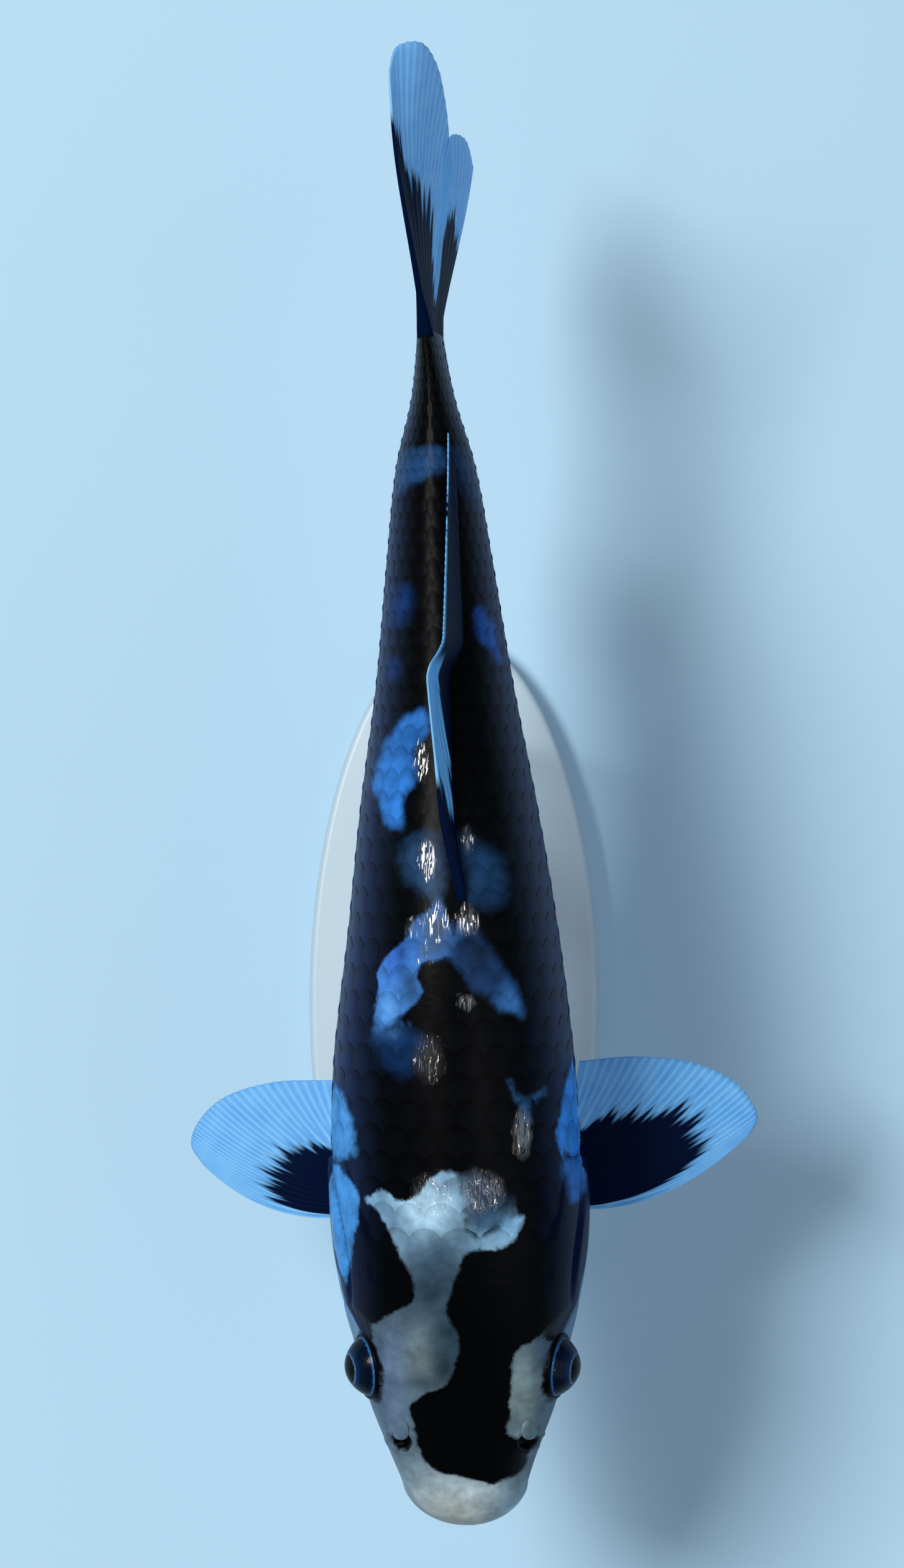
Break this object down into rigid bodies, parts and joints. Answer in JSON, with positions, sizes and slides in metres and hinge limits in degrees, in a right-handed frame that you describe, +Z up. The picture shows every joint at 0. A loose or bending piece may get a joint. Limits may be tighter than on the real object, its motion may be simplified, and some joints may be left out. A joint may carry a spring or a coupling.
{
  "type": "koi model on a display stand",
  "caption": "Life-size still model of a young black-and-white koi swimming with its side fins spread, held by rods on an oval base.",
  "frame": {"origin": "middle of the underside of the whole box, on the surface the stand rests on", "axes": "+Z up; the fish heads along -Y, so its tail points along +Y and its own left side is +X"},
  "size_m": [0.1362, 0.346, 0.1501],
  "materials": {
    "black_skin": "wet black and navy skin with fine scales",
    "white_skin": "wet bluish-white skin",
    "fin": "thin, milky and ribbed with fine rays, black at the roots",
    "eye": "polished, dark with a pale ring",
    "stand_base": "satin pale blue-grey",
    "stand_rod": "brushed"
  },
  "bodies": {
    "root": {"head": "black_skin", "lower_jaw": "white_skin", "trunk": "black_skin", "tail_stalk": "black_skin", "gill_cover_left": "white_skin", "gill_cover_right": "white_skin", "eye_left": "eye", "eye_right": "eye", "barbel_front_left": "white_skin", "barbel_front_right": "white_skin", "barbel_rear_left": "white_skin", "barbel_rear_right": "white_skin", "dorsal_fin": "fin", "tail_fin": "fin", "anal_fin": "fin", "pectoral_fin_left": "fin", "pectoral_fin_right": "fin", "pelvic_fin_left": "fin", "pelvic_fin_right": "fin", "stand_base": "stand_base", "stand_rod_front": "stand_rod", "stand_rod_rear": "stand_rod"}
  },
  "joints": []
}
